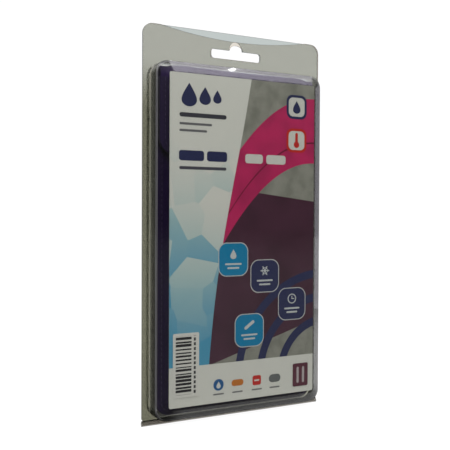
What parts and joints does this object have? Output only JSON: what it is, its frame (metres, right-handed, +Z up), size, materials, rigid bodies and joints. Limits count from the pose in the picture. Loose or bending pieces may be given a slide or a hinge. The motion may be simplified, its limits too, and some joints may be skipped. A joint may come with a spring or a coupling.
{
  "type": "insulin cooling case",
  "caption": "Soft fabric cooling wallet with gel channels and a fold-over flap, behind a printed card in a clear hinged clamshell pack with a hanging slot.",
  "frame": {"origin": "top of the hanging slot, where a peg bears, on the plane where the two halves of the pack meet", "axes": "+Z up along the pack, +X to the right seen from the front, the window faces -Y"},
  "size_m": [0.1142, 0.0198, 0.2197],
  "materials": {
    "clear_plastic": "clear thermoformed sheet, glossy, faint grey-olive tint",
    "printed_card": "printed, satin coated",
    "white_label": "matt white label paper",
    "plum_label": "plum label paper, satin",
    "leaflet_paper": "plain uncoated paper",
    "cover_fabric": "dark purple woven fabric with a slight sheen",
    "binding_tape": "dark purple ribbed tape",
    "touch_fastener": "black touch fastener",
    "pouch_fabric": "dark purple quilted cotton",
    "gel_crystals": "dry gel crystals"
  },
  "bodies": {
    "pack_rear": {"rear_shell": "clear_plastic", "hinge_fold": "clear_plastic", "instruction_leaflet": "leaflet_paper"},
    "pack_front": {"front_shell": "clear_plastic", "insert_card": "printed_card", "barcode_label": "white_label", "colour_label": "plum_label"},
    "wallet": {"cover_back": "cover_fabric", "cover_front": "cover_fabric", "cover_hem": "binding_tape", "cover_binding": "binding_tape", "loop_strip": "touch_fastener"},
    "wallet_flap": {"flap": "cover_fabric", "flap_binding": "binding_tape", "hook_strip": "touch_fastener"},
    "pouch": {"pouch_back_skin": "pouch_fabric", "pouch_back_lining": "pouch_fabric", "pouch_back_band": "binding_tape", "pouch_front_skin": "pouch_fabric", "pouch_front_lining": "pouch_fabric", "pouch_front_band": "binding_tape", "pouch_binding": "binding_tape", "gel_back_1": "gel_crystals", "gel_back_2": "gel_crystals", "gel_back_3": "gel_crystals", "gel_back_4": "gel_crystals", "gel_front_1": "gel_crystals", "gel_front_2": "gel_crystals", "gel_front_3": "gel_crystals", "gel_front_4": "gel_crystals"}
  },
  "joints": [
    {"name": "shell_open", "type": "hinge", "parent": "pack_rear", "child": "pack_front", "pos_m": [0, 0, -0.2141], "axis": [1, 0, 0], "range_deg": [0, 170]},
    {"name": "wallet_lift", "type": "slide", "parent": "pack_rear", "child": "wallet", "axis": [0, -1, 0], "range_m": [0, 0.045]},
    {"name": "flap_open", "type": "hinge", "parent": "wallet", "child": "wallet_flap", "pos_m": [0, 0.00405, -0.02505], "axis": [-1, 0, 0], "range_deg": [0, 170]},
    {"name": "pouch_slide", "type": "slide", "parent": "wallet", "child": "pouch", "axis": [0, 0, 1], "range_m": [0, 0.027]}
  ],
  "couplings": [
    {"joint": "wallet_lift", "follows": "shell_open", "m_per_rad": 0.015},
    {"joint": "flap_open", "follows": "shell_open", "ratio": 1},
    {"joint": "pouch_slide", "follows": "shell_open", "m_per_rad": 0.009}
  ]
}
